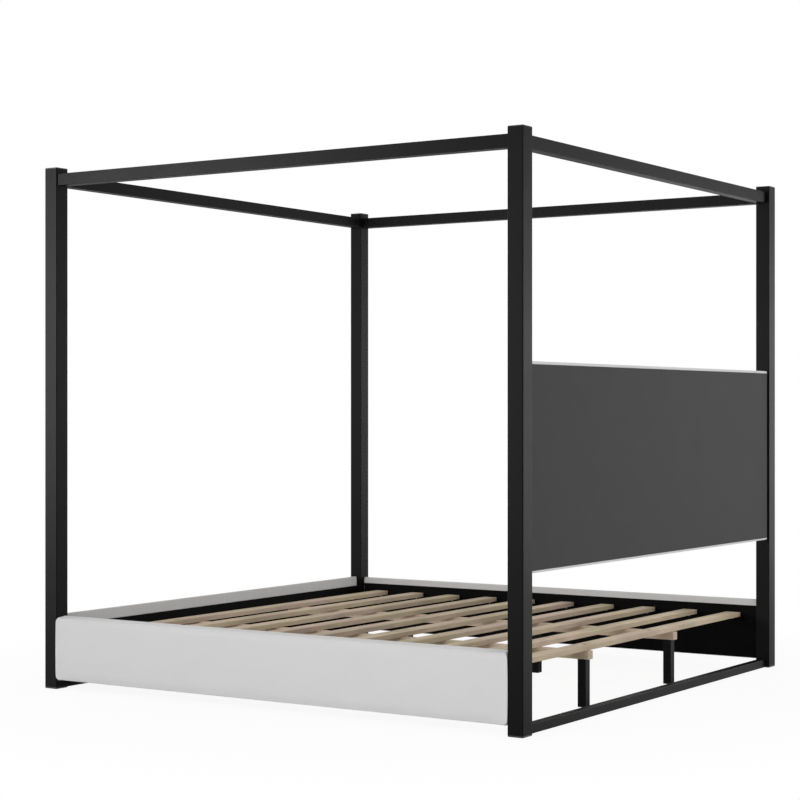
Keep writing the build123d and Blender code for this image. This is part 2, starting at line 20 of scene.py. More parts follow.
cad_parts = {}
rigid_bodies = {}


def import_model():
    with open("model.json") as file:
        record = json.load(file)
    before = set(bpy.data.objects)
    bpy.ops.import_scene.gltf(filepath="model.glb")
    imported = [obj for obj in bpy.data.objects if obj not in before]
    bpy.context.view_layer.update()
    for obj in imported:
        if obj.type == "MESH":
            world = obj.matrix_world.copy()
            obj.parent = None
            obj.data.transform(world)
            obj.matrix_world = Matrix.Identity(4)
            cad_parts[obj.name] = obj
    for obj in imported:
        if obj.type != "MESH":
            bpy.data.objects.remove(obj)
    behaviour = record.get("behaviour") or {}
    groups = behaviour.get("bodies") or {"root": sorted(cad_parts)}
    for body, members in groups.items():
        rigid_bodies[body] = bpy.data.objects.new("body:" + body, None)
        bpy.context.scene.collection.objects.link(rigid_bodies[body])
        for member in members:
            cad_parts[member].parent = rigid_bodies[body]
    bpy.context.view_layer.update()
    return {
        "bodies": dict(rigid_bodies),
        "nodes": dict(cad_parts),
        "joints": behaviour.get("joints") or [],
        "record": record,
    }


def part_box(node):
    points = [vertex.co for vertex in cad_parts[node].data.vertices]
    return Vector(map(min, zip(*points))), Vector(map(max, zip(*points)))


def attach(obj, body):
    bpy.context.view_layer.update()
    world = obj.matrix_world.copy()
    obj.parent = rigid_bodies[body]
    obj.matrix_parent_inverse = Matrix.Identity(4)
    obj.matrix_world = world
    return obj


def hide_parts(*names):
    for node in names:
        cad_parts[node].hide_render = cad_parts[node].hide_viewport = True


LOG = logging.getLogger("bed")
BODY = "root"
UP = Vector((0.0, 0.0, 1.0))
RIGHT = Vector((1.0, 0.0, 0.0))
HEAD = Vector((0.0, 1.0, 0.0))
MM = 0.001
HAIR = 1e-6
TAU = 2 * math.pi
WHITE = (1.0, 1.0, 1.0, 1.0)
ENDS = ("head", "foot")
SIDES = ("left", "right")
BMesh = bmesh.types.BMesh
Edge = bmesh.types.BMEdge
Material = bpy.types.Material
Object = bpy.types.Object
Frame = Mapping[str, Any]
Colour = tuple[float, float, float, float]
Value = Union["Wire", float, Sequence[float]]


# Shader maths and node making


def operator(operation: str) -> Callable[[Wire, Value], Wire]:
    """A method for a Python operator, which adds a Math node."""
    return lambda wire, other: wire.maths(operation, other)


class Wire:
    """A socket that takes part in Python sums: each operator adds a Math node."""

    def __init__(self, graph: Graph, socket: bpy.types.NodeSocket) -> None:
        """Wrap a socket of a graph's node."""
        self.graph = graph
        self.socket = socket

    def maths(self, operation: str, *others: Value) -> Wire:
        """Add a Math node on this socket and other values or links."""
        return self.graph.sum_of(operation, self, *others)

    __add__ = __radd__ = operator("ADD")
    __mul__ = __rmul__ = operator("MULTIPLY")
    __sub__ = operator("SUBTRACT")
    __truediv__ = operator("DIVIDE")

    def __rsub__(self, other: float) -> Wire:
        """Other less this."""
        return self.graph.sum_of("SUBTRACT", other, self)

    def __abs__(self) -> Wire:
        """The size of this, without its sign."""
        return self.maths("ABSOLUTE")


class Graph:
    """The node tree of a finish, the floor or the world."""

    def __init__(self, owner: Material | bpy.types.World) -> None:
        """Start with an empty tree."""
        owner.use_nodes = True
        self.owner = owner
        self.tree = owner.node_tree
        self.tree.nodes.clear()

    def node(
        self, kind: str, sockets: Mapping[Union[str, int], Value] | None = None, **settings: Any
    ) -> bpy.types.Node:
        """Add one node.

        Args:
            kind: the node's type.
            sockets: the values or links of its sockets, by name or number.
            settings: its settings, which are set first.

        Returns:
            The node.
        """
        made = self.tree.nodes.new(kind)
        for name, value in settings.items():
            setattr(made, name, value)
        for name, value in (sockets or {}).items():
            if isinstance(value, Wire):
                self.tree.links.new(value.socket, made.inputs[name])
            else:
                made.inputs[name].default_value = value
        return made

    def wire(self, made: bpy.types.Node, out: Union[str, int] = 0) -> Wire:
        """One output of a node, for sums and links."""
        return Wire(self, made.outputs[out])

    def sum_of(self, operation: str, *values: Value) -> Wire:
        """Add a Math node on values or links."""
        return self.wire(self.node("ShaderNodeMath", dict(enumerate(values)), operation=operation))

    def place(self, kind: str = "Object") -> Wire:
        """Texture coordinates of one kind."""
        return self.wire(self.node("ShaderNodeTexCoord"), kind)

    def split(self, vector: Wire) -> tuple[Wire, Wire, Wire]:
        """The three numbers of a vector."""
        made = self.node("ShaderNodeSeparateXYZ", {0: vector})
        return self.wire(made, 0), self.wire(made, 1), self.wire(made, 2)

    def vector(self, x: Value, y: Value, z: Value = 0.0) -> Wire:
        """A vector of three numbers."""
        return self.wire(self.node("ShaderNodeCombineXYZ", {0: x, 1: y, 2: z}))

    def noise(self, vector: Wire, scale: float, detail: float = 2.0, rough: float = 0.5) -> Wire:
        """Cloudy noise from 0 to 1: clouds to a metre, octaves and weight of the finer ones."""
        sockets = {"Vector": vector, "Scale": scale, "Detail": detail, "Roughness": rough}
        return self.wire(self.node("ShaderNodeTexNoise", sockets), "Fac")

    def cloud(
        self, x: Value, y: Value, z: Value = 0.0, detail: float = 2.0, rough: float = 0.5
    ) -> Wire:
        """Cloudy noise at three numbers that count clouds, so that it can be drawn out."""
        return self.noise(self.vector(x, y, z), 1.0, detail, rough)

    def chance(self, number: Wire) -> Wire:
        """A steady random number from 0 to 1 for each value of number."""
        made = self.node("ShaderNodeTexWhiteNoise", {"W": number}, noise_dimensions="1D")
        return self.wire(made, "Value")

    def step(self, number: Wire, low: float, high: float) -> Wire:
        """A smooth step from 0 below low to 1 above high."""
        sockets = {0: number, 1: low, 2: high}
        made = self.node("ShaderNodeMapRange", sockets, interpolation_type="SMOOTHSTEP")
        return self.wire(made, "Result")

    def mix(self, share: Value, first: Value, second: Value, blend: str = "MIX") -> Wire:
        """Mix two colours, with a share of the second."""
        sockets = {0: share, 6: first, 7: second}
        return self.wire(self.node("ShaderNodeMix", sockets, data_type="RGBA", blend_type=blend), 2)

    def bump(self, height: Wire, strength: float, distance: float) -> Wire:
        """A normal that follows a height, with the distance in metres from 0 to 1."""
        sockets = {"Strength": strength, "Distance": distance, "Height": height}
        return self.wire(self.node("ShaderNodeBump", sockets))

    def coat(self, **sockets: Value) -> Material:
        """Close a material with one Principled surface.

        Args:
            sockets: values or links by socket name, with _ for a space.

        Returns:
            The material.
        """
        named = {name.replace("_", " "): value for name, value in sockets.items()}
        shader = self.node("ShaderNodeBsdfPrincipled", named)
        self.node("ShaderNodeOutputMaterial", {"Surface": self.wire(shader)})
        return self.owner

    def blend(
        self, output: str, share: Value, first: bpy.types.Node, second: bpy.types.Node
    ) -> None:
        """Close a tree with a mix of two shaders.

        Args:
            output: type of the closing node.
            share: how much of the second.
            first: shader at 0.
            second: shader at 1.
        """
        sockets = {0: share, 1: self.wire(first), 2: self.wire(second)}
        mixed = self.node("ShaderNodeMixShader", sockets)
        self.node(output, {"Surface": self.wire(mixed)})


def new_material(name: str) -> Graph:
    """An empty material's graph."""
    return Graph(bpy.data.materials.new(name))


def grey(level: float, warm: float = 0.0) -> Colour:
    """A linear grey, warmed by a share of its level."""
    return (level * (1 + warm), level, level * (1 - warm), 1.0)


# Finishes


@dataclass(frozen=True)
class PowderCoat:
    """Matt black powder coat: a fine orange peel over steel."""

    name: str = "black_powder_coat"
    dark: Colour = grey(0.0022)
    light: Colour = grey(0.0042)
    specular: float = 0.04
    smooth: float = 0.44
    rough: float = 0.56

    def build(self) -> Material:
        """Make the material.

        Returns:
            The material.
        """
        graph = new_material(self.name)
        at = graph.place()
        cloud = graph.noise(at, scale=7.0, detail=3.0)
        peel = graph.noise(at, scale=750.0, detail=1.0)
        grain = graph.noise(at, scale=2600.0, detail=0.0)
        return graph.coat(
            Base_Color=graph.mix(0.6 * cloud + 0.4 * grain, self.dark, self.light),
            Roughness=self.smooth + (self.rough - self.smooth) * (0.7 * cloud + 0.3 * grain),
            Specular_IOR_Level=self.specular,
            Normal=graph.bump(0.75 * peel + 0.25 * grain, strength=0.35, distance=0.12 * MM),
        )


@dataclass(frozen=True)
class Moulded:
    """Matt black moulded plastic with a spark-eroded grain."""

    name: str = "black_moulded_plastic"
    dark: Colour = grey(0.006)
    light: Colour = grey(0.010)

    def build(self) -> Material:
        """Make the material.

        Returns:
            The material.
        """
        graph = new_material(self.name)
        at = graph.place()
        grain = graph.noise(at, scale=1600.0, detail=2.0, rough=0.6)
        flow = graph.noise(at, scale=30.0, detail=2.0)
        return graph.coat(
            Base_Color=graph.mix(flow, self.dark, self.light),
            Roughness=0.46 + 0.16 * grain,
            Specular_IOR_Level=0.3,
            Normal=graph.bump(grain, strength=0.4, distance=0.08 * MM),
        )


@dataclass(frozen=True)
class Weave:
    """Pale plain-woven upholstery cloth with slubby yarns, laid along the piece's map in metres.

    Slubs are counted to a metre, across a yarn and along it.
    """

    name: str = "pale_woven_cover"
    yarn: float = 0.9 * MM
    slubs: tuple[float, float] = (900.0, 45.0)
    dark: Colour = grey(0.62)
    light: Colour = grey(0.75)

    def build(self) -> Material:
        """Make the material.

        Returns:
            The material.
        """
        graph = new_material(self.name)
        u, v, _ = graph.split(graph.place("UV"))
        across = (u * (math.pi / self.yarn)).maths("SINE")
        along = (v * (math.pi / self.yarn)).maths("SINE")
        turn = 0.5 + 0.5 * across * along
        warp = abs(across) * turn
        weft = abs(along) * (1 - turn)
        fine, coarse = self.slubs
        slub_u = graph.cloud(u * fine, v * coarse, detail=1.0)
        slub_v = graph.cloud(u * coarse, v * fine, 7.0, detail=1.0)
        cloud = graph.noise(graph.vector(u, v), scale=6.0, detail=2.0)
        yarns = 0.35 * slub_u + 0.35 * slub_v + 0.3 * cloud
        height = (warp + weft) * (0.75 + 0.5 * yarns)
        # Painted shade: the weave's height lightens the yarn tops and darkens the hollows between
        # yarns, mixed with the yarns' own slubby tone.
        shade = 0.35 * height + 0.65 * yarns
        return graph.coat(
            Base_Color=graph.mix(shade, self.dark, self.light),
            Roughness=0.82 + 0.12 * cloud,
            Specular_IOR_Level=0.08,
            Sheen_Weight=0.32,
            Sheen_Roughness=0.35,
            Normal=graph.bump(height, strength=0.5, distance=0.3 * MM),
        )


@dataclass(frozen=True)
class BondedCloth:
    """Bonded backing cloth: matted fibres pressed with a field of small dots."""

    name: str
    dark: Colour
    light: Colour
    specular: float
    dot: float = 1.6 * MM

    def build(self) -> Material:
        """Make the material.

        Returns:
            The material.
        """
        graph = new_material(self.name)
        u, v, _ = graph.split(graph.place("UV"))
        lean = (u + v) * (TAU / self.dot)
        back = (u - v) * (TAU / self.dot)
        press = graph.step(lean.maths("SINE") * back.maths("SINE"), 0.25, 0.75)
        flat = graph.vector(u, v)
        fibre = graph.noise(flat, scale=1400.0, detail=2.0, rough=0.7)
        cloud = graph.noise(flat, scale=9.0, detail=3.0)
        height = 0.7 * fibre + 0.3 * (1 - press)
        return graph.coat(
            Base_Color=graph.mix(0.5 * fibre + 0.5 * cloud, self.dark, self.light),
            Roughness=0.86 - 0.16 * press,
            Specular_IOR_Level=self.specular,
            Normal=graph.bump(height, strength=0.45, distance=0.2 * MM),
        )


class Grain(Enum):
    """Which way the grain of a board runs."""

    ACROSS_BED = "x"
    ALONG_BED = "y"


@dataclass(frozen=True)
class Pine:
    """Planed pine with growth rings, fibres and a few knots, new for each board along a row.

    Boards lie a pitch apart, with as many pitches below zero as first says, and are two halves
    wide. The pith runs somewhere under each of them. Knots stay inside the edges.
    """

    name: str
    grain: Grain
    pitch: float
    first: float
    half: float
    early: Colour = (0.558, 0.479, 0.317, 1.0)
    pink: Colour = (0.603, 0.466, 0.382, 1.0)
    late: Colour = (0.379, 0.282, 0.182, 1.0)
    knot: Colour = (0.150, 0.088, 0.048, 1.0)
    worn: Colour = grey(0.30, 0.14)
    seeds: tuple[float, float] = (0.37, 11.9)
    trunk: float = 40.0
    middle: float = 0.2
    ring: float = 3.4 * MM
    summer: tuple[float, float] = (0.45, 0.92)
    winter: tuple[float, float] = (0.93, 1.0)
    pith_depth: tuple[float, float] = (0.022, 0.07)
    pith_aside: float = 0.11
    pith_sway: float = 0.030
    knots: float = 2.4
    knot_edge: tuple[float, float] = (0.012, 0.034)
    swirl_edge: tuple[float, float] = (0.02, 0.16)
    swirl_push: float = 6 * MM
    clear: tuple[float, float] = (16 * MM, 6 * MM)

    def build(self) -> Material:
        """Make the material.

        Returns:
            The material.
        """
        graph = new_material(self.name)
        x, y, z = graph.split(graph.place())
        along, across = (x, y) if self.grain is Grain.ACROSS_BED else (y, x)
        number = (across / self.pitch + self.first).maths("FLOOR")
        luck, luck_two = (graph.chance(number + seed) for seed in self.seeds)
        aside = across - (number + 0.5 - self.first) * self.pitch
        run = along + luck * self.trunk
        sway = graph.cloud(run * 1.3, luck_two * 30.0)

        spot = graph.vector(run * self.knots, aside * self.knots + number * 5.3)
        cells = {"Vector": spot, "Scale": 1.0}
        made = graph.node("ShaderNodeTexVoronoi", cells, voronoi_dimensions="2D")
        gap = graph.wire(made, "Distance")
        inner = 1 - graph.step(abs(aside), *(self.half - margin for margin in self.clear))
        eye = (1 - graph.step(gap, *self.knot_edge)) * inner
        swirl = 1 - graph.step(gap, *self.swirl_edge)

        off = aside + (luck - 0.5) * self.pith_aside + (sway - 0.5) * self.pith_sway
        deep = z - self.middle + self.pith_depth[0] + luck_two * self.pith_depth[1]
        reach = (off * off + deep * deep).maths("SQRT")
        rings = (reach + swirl * self.swirl_push) / self.ring + sway * 1.5
        year = rings.maths("FRACT")
        late = graph.step(year, *self.summer) * (1 - graph.step(year, *self.winter))

        # Clouds to a metre, few along the grain and many across it.
        fibre = graph.cloud(run * 9.0, aside * 520.0, z * 520.0, detail=3.0, rough=0.6)
        streak = graph.cloud(run * 1.2, aside * 60.0, z * 60.0)
        drift = graph.cloud(run * 2.6, number * 3.1, aside * 9.0)
        patch = 0.46 + 1.08 * graph.cloud(run * 4.1, number * 7.7, aside * 14.0, detail=3.0)

        tone = graph.mix(0.5 * luck_two + 3.2 * drift - 1.35, self.early, self.pink)
        tone = graph.mix(1.0, tone, graph.vector(patch, patch, patch), "MULTIPLY")
        tone = graph.mix(0.55 * late + 0.30 * fibre * streak, tone, self.late)
        tone = graph.mix(swirl * 0.22, tone, self.late)
        tone = graph.mix(eye * 0.85, tone, self.knot)
        tone = graph.mix(0.25 * (streak - 0.3), tone, self.worn)
        height = 0.5 * fibre + 0.35 * late + 0.15 * eye
        return graph.coat(
            Base_Color=tone,
            Roughness=0.66 + 0.18 * fibre - 0.10 * eye,
            Specular_IOR_Level=0.1,
            Normal=graph.bump(height, strength=0.35, distance=0.35 * MM),
        )


@dataclass(frozen=True)
class Plywood:
    """Plywood of the panels' boards, with a rotary-cut face."""

    name: str = "board_plywood"
    pale: Colour = (0.50, 0.38, 0.24, 1.0)
    dark: Colour = (0.34, 0.24, 0.14, 1.0)

    def build(self) -> Material:
        """Make the material.

        Returns:
            The material.
        """
        graph = new_material(self.name)
        x, y, z = graph.split(graph.place())
        figure = graph.cloud((x + y) * 1.5, z * 22.0, detail=3.0, rough=0.6)
        pore = graph.cloud((x + y) * 30.0, z * 700.0)
        return graph.coat(
            Base_Color=graph.mix(0.7 * figure + 0.3 * pore, self.pale, self.dark),
            Roughness=0.68 + 0.15 * pore,
            Specular_IOR_Level=0.3,
            Normal=graph.bump(pore, strength=0.3, distance=0.2 * MM),
        )


@dataclass(frozen=True)
class Plated:
    """Plated or blackened fastener steel with fine drawn marks."""

    name: str
    dark: Colour
    light: Colour
    metallic: float
    specular: float
    smooth: float = 0.28

    def build(self) -> Material:
        """Make the material.

        Returns:
            The material.
        """
        graph = new_material(self.name)
        at = graph.place()
        cloud = graph.noise(at, scale=260.0, detail=3.0)
        mark = graph.noise(at, scale=3000.0, detail=1.0)
        return graph.coat(
            Base_Color=graph.mix(cloud, self.dark, self.light),
            Metallic=self.metallic,
            Roughness=self.smooth + 0.2 * cloud + 0.08 * mark,
            Specular_IOR_Level=self.specular,
            Normal=graph.bump(mark, strength=0.25, distance=0.05 * MM),
        )


class Finishes:
    """Every finish of the bed, made once."""

    def __init__(self) -> None:
        """Make the materials."""
        self.steel = PowderCoat().build()
        # Painted shade: a darker, duller copy of the frame's powder coat, so that the fittings
        # inside the bed sink into the shade there.
        self.shade_darkened_fitting = PowderCoat(
            "fitting_coat_darkened_for_shade", grey(0.0016), grey(0.0032), specular=0.015
        ).build()
        self.plastic = Moulded().build()
        self.cover = Weave().build()
        self.back = BondedCloth("dark_back_cloth", grey(0.040), grey(0.053), specular=0.10).build()
        self.lining = BondedCloth(
            "black_lining_cloth", grey(0.0020), grey(0.0040), specular=0.03
        ).build()
        self.slat = Pine("slat_pine", Grain.ACROSS_BED, pitch=0.199, first=5.0, half=0.032).build()
        self.beam = Pine("beam_pine", Grain.ALONG_BED, pitch=0.670, first=1.0, half=0.017).build()
        self.board = Plywood().build()
        self.zinc = Plated("zinc_plate", grey(0.50), grey(0.66), metallic=1.0, specular=0.5).build()
        self.black_bolt = Plated(
            "blackened_bolt", grey(0.003), grey(0.006), metallic=0.0, specular=0.04, smooth=0.34
        ).build()


# Helpers for meshes and pieces


def to_object(bm: BMesh, name: str) -> Object:
    """Put a copy of a bmesh in the scene.

    Args:
        bm: the mesh.
        name: the name of its copy.

    Returns:
        The object.
    """
    mesh = bpy.data.meshes.new(name)
    bm.to_mesh(mesh)
    made = bpy.data.objects.new(name, mesh)
    bpy.context.scene.collection.objects.link(made)
    return made


def discard(spare: Object) -> None:
    """Remove an object, which goes with its mesh."""
    bpy.data.meshes.remove(spare.data)


def finish_piece(
    bm: BMesh, name: str, material: Material, nodes: Iterable[str], smooth: bool = True
) -> Object:
    """Turn a bmesh into a piece of the bed.

    Args:
        bm: the mesh, in place; it is freed.
        name: the piece's name.
        material: its finish.
        nodes: the solids that it replaces.
        smooth: whether its faces are shaded smooth.

    Returns:
        The object, at the origin and riding on the bed.
    """
    for face in bm.faces:
        face.smooth = smooth
    piece = to_object(bm, name)
    bm.free()
    piece.data.materials.append(material)
    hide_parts(*nodes)
    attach(piece, BODY)
    LOG.info("%s: %d faces", name, len(piece.data.polygons))
    return piece


def dress(frame: Frame, nodes: Iterable[str], material: Material) -> None:
    """Give solids of the frame a finish.

    Args:
        frame: the loaded frame.
        nodes: names of the solids.
        material: the finish.
    """
    for name in nodes:
        for slot in frame["nodes"][name].material_slots:
            slot.material = material
        LOG.info("%s: %s", name, material.name)


def box_of(points: Iterable[Vector]) -> tuple[Vector, Vector]:
    """Lowest and highest corner of the box round some points."""
    columns = list(zip(*points))
    return Vector([min(column) for column in columns]), Vector([max(column) for column in columns])


def insets(at: Vector, low: Vector, high: Vector) -> tuple[float, float]:
    """How far a point lies in from a box's nearer end, and from its nearer top or bottom."""
    return min(at.x - low.x, high.x - at.x), min(at.z - low.z, high.z - at.z)


def solid_boxes(node: Object) -> list[tuple[Vector, Vector]]:
    """Boxes of the separate solids in one node of the frame.

    Args:
        node: the node's object.

    Returns:
        The lowest and highest corner of each solid.
    """
    bm = bmesh.new()
    bm.from_mesh(node.data)
    bmesh.ops.remove_doubles(bm, verts=bm.verts, dist=HAIR)
    left = set(bm.verts)
    boxes = []
    while left:
        found = [left.pop()]
        for vert in found:
            near = {edge.other_vert(vert) for edge in vert.link_edges} & left
            left -= near
            found += near
        boxes.append(box_of(vert.co for vert in found))
    bm.free()
    return sorted(boxes, key=lambda box: tuple(round(number, 4) for number in box[0]))


def slice_up(bm: BMesh, axis: int, places: Iterable[float]) -> None:
    """Cut a mesh across an axis, keeping both sides.

    Args:
        bm: the mesh.
        axis: the axis, by number.
        places: where on the axis it is cut.
    """
    normal = Vector((0.0, 0.0, 0.0))
    normal[axis] = 1.0
    for place in places:
        geom = bm.verts[:] + bm.edges[:] + bm.faces[:]
        bmesh.ops.bisect_plane(bm, geom=geom, dist=HAIR, plane_co=normal * place, plane_no=normal)


def set_order(bm: BMesh) -> None:
    """Number a mesh's parts by their places, so that each run gives the same numbers.

    Args:
        bm: the mesh.
    """
    weights = Vector((1.0, 17.31, 311.7))
    bm.verts.sort(key=lambda vert: vert.co.dot(weights))
    bm.edges.sort(key=lambda edge: (edge.verts[0].co + edge.verts[1].co).dot(weights))
    bm.faces.sort(key=lambda face: face.calc_center_median().dot(weights))
    for parts in (bm.verts, bm.edges, bm.faces):
        parts.index_update()


def steps(low: float, high: float, cell: float) -> list[float]:
    """Even places between two ends, about a cell apart, without the ends."""
    count = max(2, round((high - low) / cell))
    return [low + (high - low) * k / count for k in range(1, count)]


def slab(low: Vector, high: Vector) -> BMesh:
    """A box between two corners.

    Args:
        low: its lowest corner.
        high: its highest corner.

    Returns:
        The mesh.
    """
    bm = bmesh.new()
    bmesh.ops.create_cube(bm, size=1.0)
    bmesh.ops.scale(bm, vec=high - low, verts=bm.verts)
    bmesh.ops.translate(bm, vec=(high + low) / 2, verts=bm.verts)
    return bm


def round_off(bm: BMesh, edges: Sequence[Edge], radius: float, segments: int) -> None:
    """Round some edges of a mesh."""
    settings = {"profile": 0.5, "affect": "EDGES", "material": -1, "clamp_overlap": True}
    bmesh.ops.bevel(bm, geom=edges, offset=radius, segments=segments, **settings)


# Upholstery


@dataclass(frozen=True)
class PanelPlace:
    """Where a panel stands: X runs along it, Y outwards from its flat back and Z up."""

    pad: str
    board: str
    cloth: str
    outward: Vector

    def frame(self) -> Matrix:
        """The panel's own frame.

        Returns:
            Its place and turn, with the origin in the middle of the back's bottom edge.
        """
        low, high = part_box(self.pad)
        low, high = Vector(low), Vector(high)
        middle = (low + high) / 2
        deep = abs((high - low).dot(self.outward))
        origin = middle - self.outward * deep / 2
        origin.z = low.z
        turn = Matrix((self.outward.cross(UP), self.outward, UP)).transposed().to_4x4()
        return Matrix.Translation(origin) @ turn

    def local(self, node: str) -> tuple[Vector, Vector]:
        """A node's box in the panel's own frame."""
        home = self.frame().inverted()
        return box_of(home @ Vector(corner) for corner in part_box(node))


@dataclass
class Cover:
    """A padded cover drawn tight round a board and turned over its back.

    The lip is the profile of the plumped ends: how far from the end's plane (0) to the front's (1)
    along the roll, how far in from the padded solid's end and how far out from the posts' faces,
    both in millimetres. The posts' faces lie behind the padded solid's front by proud.
    """

    name: str
    place: PanelPlace
    material: Material
    swell: float = 5 * MM
    cell: float = 12 * MM
    roll: float = 12 * MM
    bottom_roll: float = 5 * MM
    back_roll: float = 3 * MM
    corner: float = 9 * MM
    lip: tuple[tuple[float, float, float], ...] = (
        (0.0, 1.8, 0.2),
        (0.383, -2.8, 1.4),
        (0.707, -3.6, 2.4),
        (0.924, -1.6, 4.1),
        (1.0, 3.4, 4.6),
    )
    proud: float = 4.8 * MM
    plump: float = 14 * MM
    end_fade: float = 90 * MM
    bow: float = 0.6
    wander: float = 0.5 * MM
    waves: tuple[float, float] = (7.0, 11.0)
    pull: float = 0.8 * MM
    pull_fade: float = 45 * MM
    folds: float = 9.0
    cloth_depth: float = 1 * MM
    room: float = 0.2 * MM
    shrink: float = 1 * MM
    pressure: float = 4.0
    frames: int = 20
    low: Vector = field(init=False)
    high: Vector = field(init=False)
    front: float = field(init=False)

    def __post_init__(self) -> None:
        """Read the padded solid's box, and where the front is before it swells."""
        self.low, self.high = self.place.local(self.place.pad)
        self.front = self.high.y - self.swell

    def build(self) -> None:
        """Make the cover and put it in place."""
        bm = self.shell()
        self.map_cloth(bm)
        rest = [vert.co.copy() for vert in bm.verts]
        self.inflate(bm)
        if self.lip:
            self.fill_ends(bm, rest)
        self.pucker(bm)
        bm = self.smooth(bm)
        self.line_inside(bm)
        bmesh.ops.recalc_face_normals(bm, faces=bm.faces)
        bmesh.ops.transform(bm, matrix=self.place.frame(), verts=bm.verts)
        piece = finish_piece(bm, self.name, self.material, [self.place.pad])

    def shell(self) -> BMesh:
        """The cover before it swells, open at the back where the cloth lies.

        Returns:
            The mesh in the panel's own frame.
        """
        tight = Vector((self.shrink, 0.0, self.shrink))
        first = Vector((self.low.x, 0.0, self.low.z)) + tight
        last = Vector((self.high.x, self.front, self.high.z)) - tight
        bm = slab(first, last)
        deep = self.front / 2
        sides = [e for e in bm.edges if abs(e.verts[0].co.y - e.verts[1].co.y) > deep]
        round_off(bm, sides, self.corner, 3)
        round_off(bm, self.edges_at(bm, self.front), self.roll, 4)
        round_off(bm, self.edges_at(bm, 0.0), self.back_roll, 2)
        cloth_low, cloth_high = self.place.local(self.place.cloth)
        for axis in (0, 2):
            places = steps(first[axis], last[axis], self.cell)
            slice_up(bm, axis, places + [cloth_low[axis], cloth_high[axis]])
        slice_up(bm, 1, steps(0.0, self.front, self.cell))
        bmesh.ops.remove_doubles(bm, verts=bm.verts, dist=0.1 * MM)
        set_order(bm)
        self.tighten_bottom(bm, first, last)
        inside = [face for face in bm.faces if self.behind_cloth(face, cloth_low, cloth_high)]
        bmesh.ops.delete(bm, geom=inside, context="FACES")
        return bm

    @staticmethod
    def edges_at(bm: BMesh, y: float) -> list[Edge]:
        """The edges that lie at one distance from the back."""
        return [e for e in bm.edges if all(abs(v.co.y - y) < HAIR for v in e.verts)]

    def tighten_bottom(self, bm: BMesh, first: Vector, last: Vector) -> None:
        """Draw the bottom edge to a smaller roll than the others, easing over near the ends.

        Args:
            bm: the mesh, whose points move.
            first: lowest corner of the shell.
            last: its highest corner.
        """
        ease = 3 * self.roll
        for vert in bm.verts:
            up, deep = vert.co.z - first.z, last.y - vert.co.y
            if up >= self.roll or deep >= self.roll + HAIR:
                continue
            near = min(vert.co.x - first.x, last.x - vert.co.x) / ease
            share = 1 - (1 - self.bottom_roll / self.roll) * min(1.0, near)
            vert.co.z = first.z + up * share
            vert.co.y = last.y - deep * share

    @staticmethod
    def behind_cloth(face: bmesh.types.BMFace, low: Vector, high: Vector) -> bool:
        """Whether a face of the back lies under the cloth."""
        middle = face.calc_center_median()
        return abs(middle.y) < HAIR and low.x < middle.x < high.x and low.z < middle.z < high.z

    def map_cloth(self, bm: BMesh) -> None:
        """Lay the weave round the cover, in metres, unrolled over its edges.

        Args:
            bm: the mesh, which gets a map.
        """
        layer = bm.loops.layers.uv.new("weave")
        middle = self.high.z / 2
        backwards = -0.7
        for face in bm.faces:
            face.normal_update()
            end = abs(face.normal.x) > max(abs(face.normal.y), abs(face.normal.z))
            for loop in face.loops:
                x, y, z = loop.vert.co
                turned = max(0.0, self.front - y)
                u, v = x, z
                if end:
                    u += math.copysign(turned, x)
                else:
                    v += math.copysign(turned, z - middle)
                if face.normal.y < backwards:
                    v += math.copysign(abs(middle - abs(z - middle)), z - middle)
                loop[layer].uv = (u, v)

    def inflate(self, bm: BMesh) -> None:
        """Swell the cover with a cloth simulation, within the padded solid's box.

        Args:
            bm: the mesh, whose points move.
        """
        scene = bpy.context.scene
        slack = to_object(bm, f"{self.name}_slack")
        pins = slack.vertex_groups.new(name="tacked")
        tacked = [v.index for v in slack.data.vertices if v.co.y < 2 * self.back_roll]
        pins.add(tacked, 1.0, "REPLACE")
        cloth = slack.modifiers.new("Cloth", "CLOTH")
        cloth.settings.vertex_group_mass = pins.name
        cloth.settings.use_pressure = True
        cloth.settings.uniform_pressure_force = self.pressure
        cloth.settings.effector_weights.gravity = 0.0
        cloth.settings.quality = 5
        cloth.point_cache.frame_start = 1
        cloth.point_cache.frame_end = self.frames
        for frame in range(1, self.frames + 1):
            scene.frame_set(frame)
        swollen = slack.evaluated_get(bpy.context.evaluated_depsgraph_get()).data
        for vert, moved in zip(bm.verts, swollen.vertices):
            shift = moved.co - vert.co
            size = shift.length
            if size > HAIR:
                vert.co += shift * (self.swell * math.tanh(size / self.swell) / size)
            for k in range(3):
                vert.co[k] = min(max(vert.co[k], self.low[k]), self.high[k])
        scene.frame_set(1)
        discard(slack)

    def fill_ends(self, bm: BMesh, rest: Sequence[Vector]) -> None:
        """Plump the ends up and lap them softly over the edges of the posts.

        Args:
            bm: the mesh, whose points move.
            rest: where its points were before it swelled.
        """
        low, high = self.low, self.high
        face = high.y - self.proud
        for vert, at in zip(bm.verts, rest):
            near, tall = (gap - self.shrink for gap in insets(at, low, high))
            deep = (at.y - self.front) / self.roll + 1
            if near > self.end_fade or deep * self.roll < -HAIR:
                continue
            tall = min(1.0, max(0.0, tall) / self.plump)
            lift, push = min(1.0, 2 * tall), max(0.0, 2 * tall - 1)
            inset, height = self.lip_at(deep)
            if inset < 0:
                arch = math.sin(math.pi * (at.z - low.z) / (high.z - low.z))
                inset *= 1 - self.bow + self.bow * arch
            past = max(0.0, near / self.roll - 1)
            ease = 0.5 + 0.5 * math.cos(math.pi * near / self.end_fade)
            vert.co.y += lift * (2 - lift) * ease * max(0.0, face + height - vert.co.y)
            if past < 1:
                goal = inset + past * (2 * self.roll - inset)
                goal = low.x + goal if at.x < (low.x + high.x) / 2 else high.x - goal
                vert.co.x += push * push * (3 - 2 * push) * (goal - vert.co.x)

